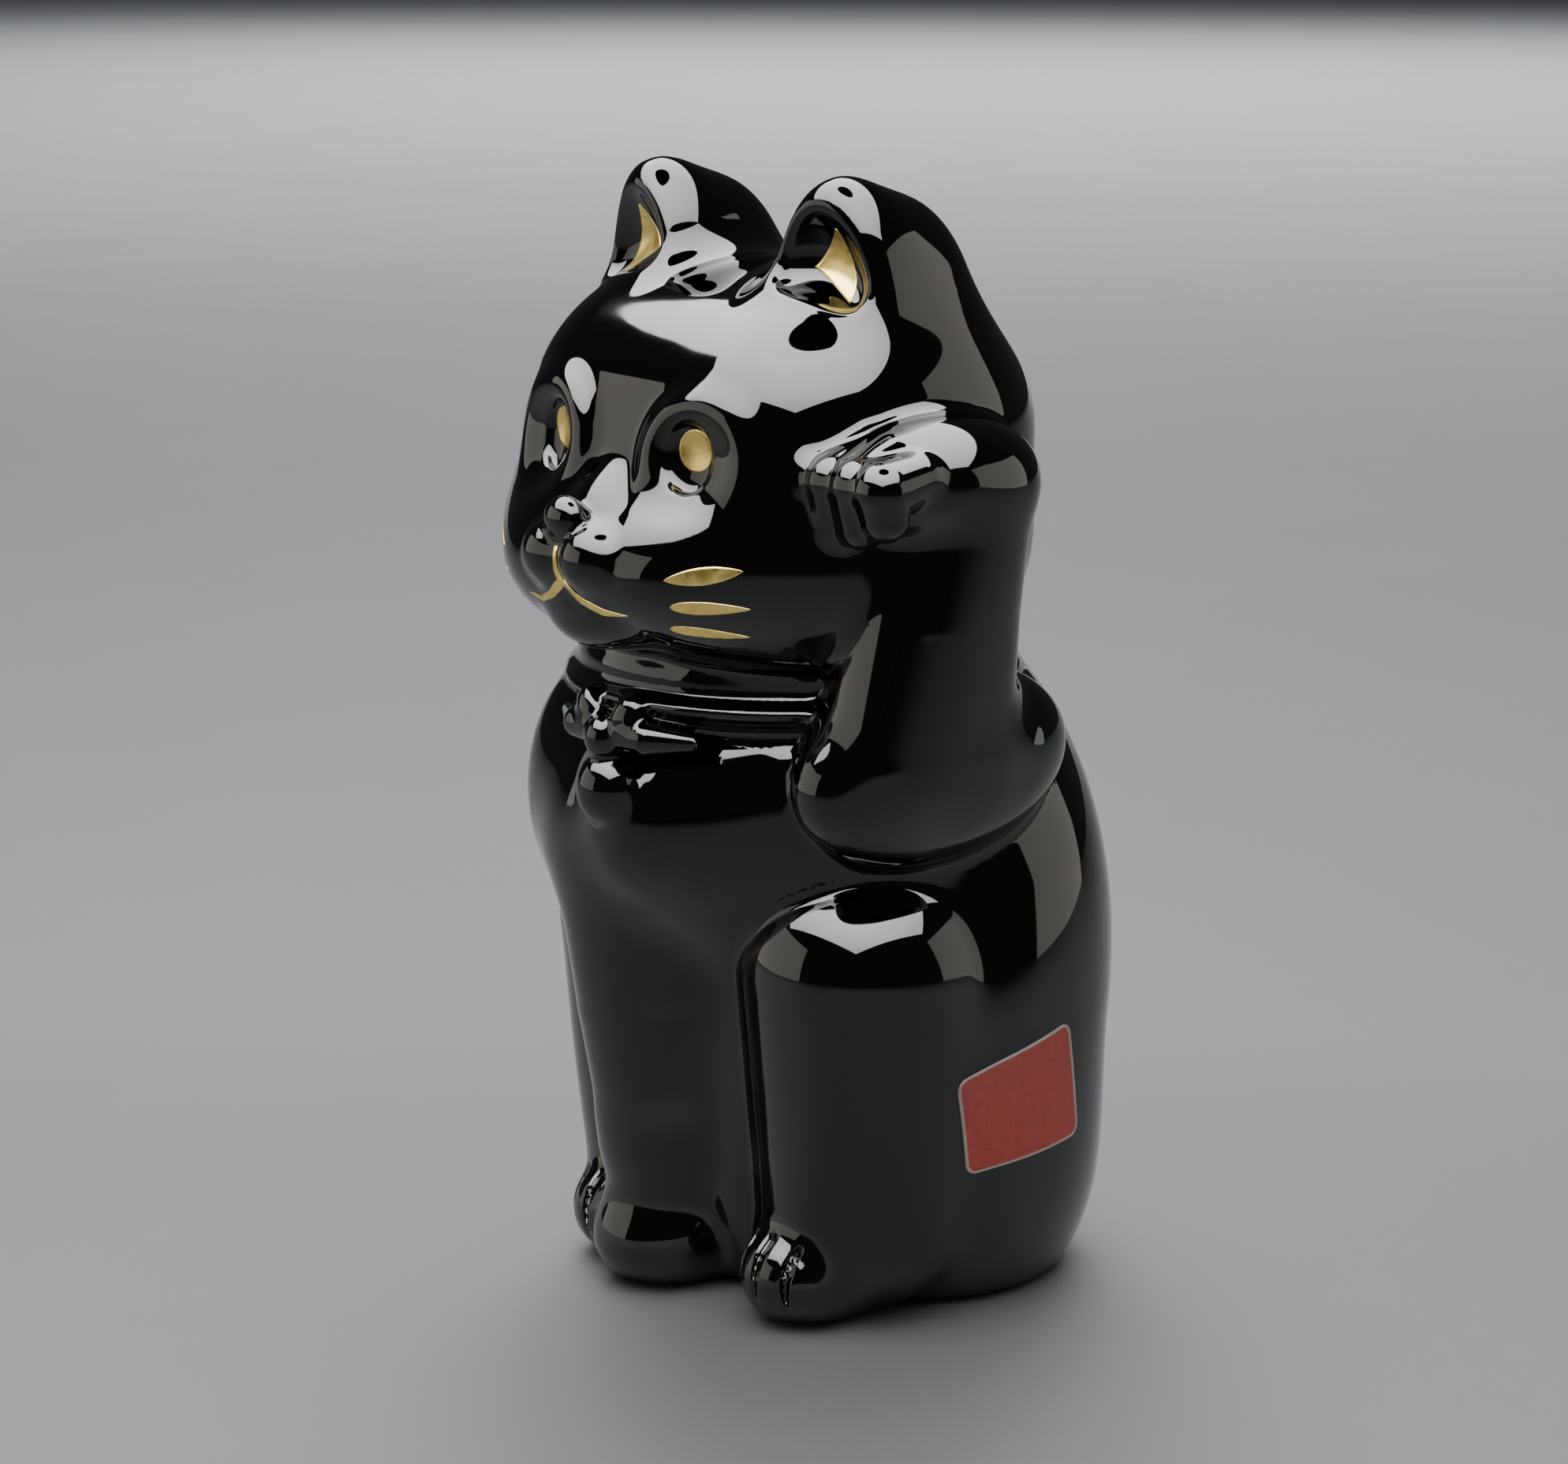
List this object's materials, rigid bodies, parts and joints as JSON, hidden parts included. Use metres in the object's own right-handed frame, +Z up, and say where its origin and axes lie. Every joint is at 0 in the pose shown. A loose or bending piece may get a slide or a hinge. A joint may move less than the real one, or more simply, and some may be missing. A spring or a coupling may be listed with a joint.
{
  "type": "beckoning cat figurine",
  "caption": "Sitting cat ornament in black crystal, left paw raised beside its head, with fired-gold eyes, ears, mouth and whiskers and a blank paper label on its flank.",
  "frame": {"origin": "on the base plane, in the middle plane of the figure", "axes": "+Z up, the cat faces -Y, its raised left paw is on the +X side"},
  "size_m": [0.0531, 0.0563, 0.0997],
  "materials": {
    "crystal": "fire-polished opaque black crystal",
    "gilding": "burnished fired gold",
    "label": "coated red paper with a white edge"
  },
  "bodies": {
    "root": {"crystal_body": "crystal", "left_eye_gilding": "gilding", "right_eye_gilding": "gilding", "left_ear_gilding": "gilding", "right_ear_gilding": "gilding", "mouth_gilding": "gilding", "left_whisker_upper": "gilding", "left_whisker_middle": "gilding", "left_whisker_lower": "gilding", "right_whisker_upper": "gilding", "right_whisker_middle": "gilding", "right_whisker_lower": "gilding", "haunch_label": "label"}
  },
  "joints": []
}
